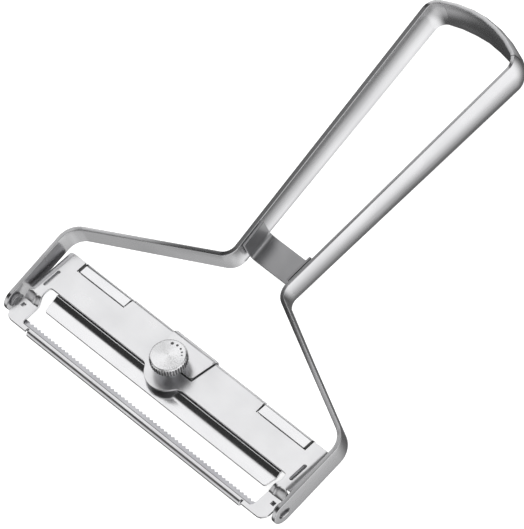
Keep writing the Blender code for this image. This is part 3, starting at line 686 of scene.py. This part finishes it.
@dataclass
class HandleFrame:
    """Bent strip handle with the bridge across its neck, in millimetres.

    The upper edge is found by its drop from the strip's top, and each of edge_lifts is a stretch, from and
    to, counted from the handle's end, with the lift that it gets.
    """

    shop: FinishShop
    edge_drop: tuple[float, float] = (-1.02, -0.4)
    edge_lifts: tuple[Triple, ...] = ((-4.1, -3.1, 0.15), (-3.1, -2.3, 0.32), (-2.3, 20.0, 0.5))
    foot_half: float = 7.0
    foot_top: float = 1.0
    foot_in: float = 1.2
    foot_reach: float = 15.0
    pieces: list[bpy.types.Object] = field(default_factory=list)

    def build(self) -> None:
        """Makes the strip and the bridge."""
        self.pieces = [smooth_copy("handle_strip", "strip_handle", reshape=self._shape_end),
                       smooth_copy("neck_bridge", "bridge_plate")]

    def _shape_end(self, strip: bpy.types.Object) -> None:
        """Levels the upper edge across the handle's end and draws the end's foot in a little.

        Args:
            strip: the merged copy of the strip, in object mode.
        """
        low, high = (END_TOP_Z + drop for drop in self.edge_drop)
        for start, stop, lift in self.edge_lifts:
            self._nudge(strip, lambda x, y, z: start < y - END_Y <= stop and low < z < high,
                        (0, 0, lift), 0.0)
        self._nudge(strip, lambda x, y, z: y > END_Y and abs(x) < self.foot_half and z < self.foot_top,
                    (0, -self.foot_in, 0), self.foot_reach)

    @staticmethod
    def _nudge(piece: bpy.types.Object, chosen: Callable[[float, float, float], bool], by: Triple,
               reach: float) -> None:
        """Moves some of a piece's points in edit mode.

        Args:
            piece: the piece, in object mode.
            chosen: test that takes a point's x, y and z in the part's millimetres.
            by: millimetres to move them by.
            reach: millimetres over which the neighbours follow, or 0.
        """
        for vertex in piece.data.vertices:
            x, y, z = vertex.co / MM
            vertex.select = chosen(x, y + SHIFT_Y, z)
        bpy.ops.object.mode_set(mode="EDIT")
        bpy.ops.mesh.select_mode(type="VERT")
        bpy.ops.transform.translate(value=Vector(by) * MM, use_proportional_edit=reach > 0,
                                    proportional_edit_falloff="SMOOTH",
                                    proportional_size=max(reach, 1.0) * MM)
        bpy.ops.mesh.select_all(action="DESELECT")
        bpy.ops.object.mode_set(mode="OBJECT")

    def dress(self) -> None:
        """Gives both their steel."""
        strip, bridge = self.pieces
        settle(strip, "handle", ["handle_strip"], self.shop.material(STRIP_STEEL))
        settle(bridge, "handle", ["neck_bridge"], self.shop.material(BRIDGE_STEEL))


@dataclass(frozen=True)
class Louvre:
    """Thin tongue that closes a hole in the carrier's end from below, in the cutter's millimetres."""

    x: float
    s: float
    n: float
    wide: float
    long: float


@dataclass
class Cutter:
    """Pressed carrier with its blade, hinge rod, leaf and pivot washers.

    Each louvre is made at both ends, and louvre_slopes are the degrees that the left and right ones slope.
    """

    shop: FinishShop
    parts: dict[str, tuple[str, SteelFinish, float]] = field(default_factory=lambda: {
        "cutter_carrier": ("carrier_plate", PLATE_STEEL, SMOOTH_DEG),
        "serrated_blade": ("toothed_blade", BLADE_STEEL, 20.0),
        "hinge_rod": ("rear_rod", SCREW_STEEL, SMOOTH_DEG),
        "brake_leaf": ("knob_leaf", LEAF_STEEL, SMOOTH_DEG),
        "pivot_washer_left": ("washer_left", BRIDGE_STEEL, SMOOTH_DEG),
        "pivot_washer_right": ("washer_right", BRIDGE_STEEL, SMOOTH_DEG),
    })
    louvres: tuple[Louvre, ...] = (Louvre(62.0, 13.65, 1.78, 2.0, 8.8), Louvre(63.0, 0.1, -0.70, 2.2, 2.2))
    louvre_slopes: tuple[float, float] = (0.0, 21.0)
    louvre_t: float = 0.3
    louvre_edge: float = 0.08
    pieces: dict[str, bpy.types.Object] = field(default_factory=dict)
    louvre_piece: Optional[bpy.types.Object] = None

    def build(self) -> None:
        """Makes each piece of the cutter."""
        for node, (name, _, angle) in self.parts.items():
            self.pieces[node] = smooth_copy(node, name, angle)
        tongues = [self._tongue(louvre, side, slope) for louvre in self.louvres
                   for side, slope in zip((-1, 1), self.louvre_slopes)]
        self.louvre_piece = join_as(tongues, "end_louvres")

    def _tongue(self, louvre: Louvre, side: int, slope: float) -> bpy.types.Object:
        """Makes one tongue, pressed down from the sheet under a hole.

        Args:
            louvre: its place and size.
            side: -1 for the left end and 1 for the right.
            slope: degrees that it slopes along the blade.

        Returns:
            The tongue.
        """
        deselect()
        bpy.ops.mesh.primitive_cube_add(size=1.0)
        tongue = bpy.context.object
        tongue.scale = (louvre.wide * MM, louvre.long * MM, self.louvre_t * MM)
        bpy.ops.object.transform_apply(location=False, rotation=False, scale=True)
        bevel_all(self.louvre_edge * MM)
        lean = Matrix.Rotation(-TILT, 4, "X") @ Matrix.Rotation(-math.radians(slope), 4, "Y")
        tongue.location = from_cutter(side * louvre.x, louvre.s, louvre.n)
        tongue.rotation_euler = lean.to_euler()
        bpy.ops.object.transform_apply(location=True, rotation=True, scale=True)
        return tongue

    def dress(self) -> None:
        """Gives each piece its steel."""
        for node, (_, finish, _) in self.parts.items():
            settle(self.pieces[node], "cutter", [node], self.shop.material(finish))
        settle(self.louvre_piece, "cutter", [], self.shop.material(LOUVRE_STEEL))


@dataclass
class Guide:
    """Guide plate and the bush that moves it."""

    shop: FinishShop
    bush_angle: float = 40.0
    pieces: list[bpy.types.Object] = field(default_factory=list)

    def build(self) -> None:
        """Makes the plate and its bush."""
        self.pieces = [smooth_copy("guide_plate", "guide_sheet"),
                       smooth_copy("threaded_bush", "guide_bush", self.bush_angle)]

    def dress(self) -> None:
        """Gives both their steel."""
        plate, bush = self.pieces
        settle(plate, "guide", ["guide_plate"], self.shop.material(GUIDE_STEEL))
        settle(bush, "guide", ["threaded_bush"], self.shop.material(SCREW_STEEL))


@dataclass
class ThumbKnob:
    """Knurled knob with its screw, retaining ring and five setting marks, in millimetres and degrees."""

    shop: FinishShop
    knurl_angle: float = 28.0
    screw_angle: float = 40.0
    mark_radius: float = 4.9
    mark_sizes: tuple[float, ...] = (0.58, 0.47, 0.40, 0.34, 0.28)
    mark_angles: tuple[float, ...] = (118.0, 94.0, 71.0, 53.0, 38.0)
    mark_depth: float = 0.1
    mark_edge: float = 0.02
    mark_sides: int = 28
    pieces: list[bpy.types.Object] = field(default_factory=list)

    def build(self) -> None:
        """Makes the knob, its screw and ring, and the marks."""
        self.pieces = [smooth_copy("thumb_knob", "knurled_knob", self.knurl_angle),
                       smooth_copy("adjusting_screw", "knob_screw", self.screw_angle),
                       smooth_copy("retaining_ring", "screw_ring", self.screw_angle)]
        marks = [self._mark(size, math.radians(angle))
                 for size, angle in zip(self.mark_sizes, self.mark_angles)]
        self.pieces.append(join_as(marks, "knob_marks"))

    def _mark(self, size: float, angle: float) -> bpy.types.Object:
        """Makes one shallow filled dot near the knob's rim.

        Args:
            size: radius of the dot, in millimetres.
            angle: where it stands round the knob, in radians.

        Returns:
            The dot.
        """
        x, s = KNOB_X + self.mark_radius * math.cos(angle), KNOB_S + self.mark_radius * math.sin(angle)
        deselect()
        bpy.ops.mesh.primitive_cylinder_add(vertices=self.mark_sides, radius=size * MM,
                                            depth=self.mark_depth * MM, rotation=(-TILT, 0, 0),
                                            location=from_cutter(x, s, KNOB_TOP_N))
        dot = bpy.context.object
        bevel_all(self.mark_edge * MM)
        bpy.ops.object.transform_apply(location=True, rotation=True, scale=True)
        return dot

    def dress(self) -> None:
        """Gives each piece its finish."""
        knob, screw, ring, marks = self.pieces
        settle(knob, "knob", ["thumb_knob"], self.shop.material(KNOB_STEEL))
        settle(screw, "knob", ["adjusting_screw"], self.shop.material(SCREW_STEEL))
        settle(ring, "knob", ["retaining_ring"], self.shop.material(SCREW_STEEL))
        settle(marks, "knob", [], self.shop.material(MARK_FILL))


@dataclass(frozen=True)
class LightCard:
    """Soft oval card of light, far away, that the steel mirrors."""

    aim: Triple
    reach: Triple
    full_share: float
    strength: float

    def glow(self, nodes: Nodes, link: Link, place: Socket) -> Socket:
        """Adds the card's light to the sky.

        Args:
            nodes: the world's nodes.
            link: the world's link maker.
            place: socket with the direction that is looked in.

        Returns:
            Socket with the card's light in that direction.
        """
        ahead = Vector(self.aim).normalized()
        across = Vector((0, 1, 0)).cross(ahead).normalized()
        tall = ahead.cross(across)
        frame_of = nodes.new("ShaderNodeMapping")
        frame_of.vector_type = "TEXTURE"
        frame_of.inputs["Location"].default_value = ahead
        frame_of.inputs["Rotation"].default_value = Matrix((across, tall, ahead)).transposed().to_euler()
        frame_of.inputs["Scale"].default_value = self.reach
        link(place, frame_of.inputs["Vector"])
        away = vector_step(nodes, link, "LENGTH", frame_of.outputs["Vector"]).outputs["Value"]
        return ranged(nodes, link, away, (self.full_share, 1.0), (self.strength, 0.0), smooth=True)


@dataclass
class Studio:
    """Pale floor, soft cards and lamps, and the camera at the photograph's angle."""

    camera_at: Triple = (790.5, -204.9 - SHIFT_Y, 1436.8 + PIVOT_Z)
    right: Triple = (0.6985, 0.6662, -0.2613)
    down: Triple = (0.5333, -0.7281, -0.4307)
    lens: float = 324.0
    sensor: float = 36.0
    floor_half: float = 6.0
    floor_drop: float = 0.0001
    night: float = 0.03
    cards: tuple[LightCard, ...] = (
        LightCard((-0.477, 0.517, 0.711), (0.42, 0.52, 1.0), 0.72, 1.15),
        LightCard((0.978, 0.147, -0.147), (1.25, 1.25, 1.25), 0.28, 1.45),
        LightCard((0.35, 0.20, 0.92), (0.65, 0.65, 0.65), 0.25, 0.2),
        LightCard((0.15, -0.50, -0.85), (0.62, 0.62, 0.62), 0.40, 0.55),
        LightCard((-0.36, -0.90, 0.18), (0.64, 0.64, 0.64), 0.55, 0.9),
        LightCard((-0.45, 0.87, -0.15), (0.75, 0.75, 0.75), 0.45, 0.95),
        LightCard((-0.98, 0.0, 0.20), (0.42, 0.42, 0.42), 0.50, 0.9),
        LightCard((0.52, -0.55, 0.65), (0.60, 0.60, 0.60), 0.45, 0.7),
        LightCard((0.0, 0.0, -1.0), (1.2, 1.2, 1.2), 0.30, 0.12),
    )

    def build(self) -> None:
        """Makes the camera, the floor, the sky and the lamps."""
        self._camera()
        self._floor()
        self._sky()
        self._lamp("key_lamp", place=(-0.6, 0.5, 2.4), size=2.6, power=70.0)
        self._lamp("fill_lamp", place=(1.6, -1.2, 2.0), size=2.0, power=30.0)

    def _camera(self) -> None:
        """Places the long-lens camera."""
        data = bpy.data.cameras.new("camera")
        data.lens = self.lens
        data.sensor_width = self.sensor
        data.clip_start, data.clip_end = 0.05, 50.0
        camera = bpy.data.objects.new("camera", data)
        bpy.context.collection.objects.link(camera)
        right = Vector(self.right).normalized()
        up = -(Vector(self.down) - right * Vector(self.down).dot(right)).normalized()
        back = right.cross(up)
        turn = Matrix((right, up, back)).transposed()
        camera.matrix_world = Matrix.Translation(Vector(self.camera_at) * MM) @ turn.to_4x4()
        bpy.context.scene.camera = camera

    def _floor(self) -> None:
        """Pale paper with the faintest mottle, lit a little from behind and not mirrored in the steel."""
        deselect()
        bpy.ops.mesh.primitive_plane_add(size=2 * self.floor_half, location=(0, 0, -self.floor_drop))
        floor = bpy.context.object
        floor.name = "floor"
        floor.visible_glossy = False
        material = bpy.data.materials.new("floor_paper")
        material.use_nodes = True
        nodes, link = material.node_tree.nodes, material.node_tree.links.new
        shader = nodes["Principled BSDF"]
        shader.inputs["Base Color"].default_value = (0.5, 0.5, 0.5, 1)
        shader.inputs["Roughness"].default_value = 1.0
        shader.inputs["Specular IOR Level"].default_value = 0.0
        shader.inputs["Emission Strength"].default_value = 0.8
        noise = nodes.new("ShaderNodeTexNoise")
        noise.inputs["Scale"].default_value = 6.0
        mottle = mixed(nodes, link, noise.outputs["Fac"], (0.97, 0.97, 0.97, 1), (1.0, 1.0, 1.0, 1))
        link(mottle, shader.inputs["Emission Color"])
        floor.data.materials.append(material)

    def _sky(self) -> None:
        """Dark studio hung with soft cards, which are all that the steel mirrors."""
        world = bpy.data.worlds.new("studio")
        bpy.context.scene.world = world
        world.use_nodes = True
        nodes, link = world.node_tree.nodes, world.node_tree.links.new
        place = nodes.new("ShaderNodeTexCoord").outputs["Generated"]
        total = self.night
        for card in self.cards:
            total = reckon(nodes, link, "ADD", total, card.glow(nodes, link, place))
        link(total, nodes["Background"].inputs["Strength"])
        nodes["Background"].inputs["Color"].default_value = (1, 1, 1, 1)

    @staticmethod
    def _lamp(name: str, place: Triple, size: float, power: float) -> None:
        """Adds a large soft lamp that lights the scene and isn't mirrored in the steel.

        Args:
            name: name of the lamp.
            place: where it hangs, in metres.
            size: side of its square face, in metres.
            power: watts.
        """
        data = bpy.data.lights.new(name, "AREA")
        data.size = size
        data.energy = power
        lamp = bpy.data.objects.new(name, data)
        bpy.context.collection.objects.link(lamp)
        lamp.location = place
        lamp.rotation_mode = "QUATERNION"
        lamp.rotation_quaternion = (-Vector(place)).to_track_quat("-Z", "Y")
        lamp.visible_glossy = False


def main() -> None:
    """Builds the peeler's sub-assemblies in order, then the studio."""
    logging.basicConfig(level=logging.INFO, format="%(name)s: %(message)s")
    bpy.context.scene.view_settings.view_transform = "Standard"
    shop = FinishShop()
    for assembly in (HandleFrame(shop), Cutter(shop), Guide(shop), ThumbKnob(shop)):
        assembly.build()
        assembly.dress()
        LOG.info("%s is done", type(assembly).__name__)
    Studio().build()


if __name__ == "__main__":
    main()
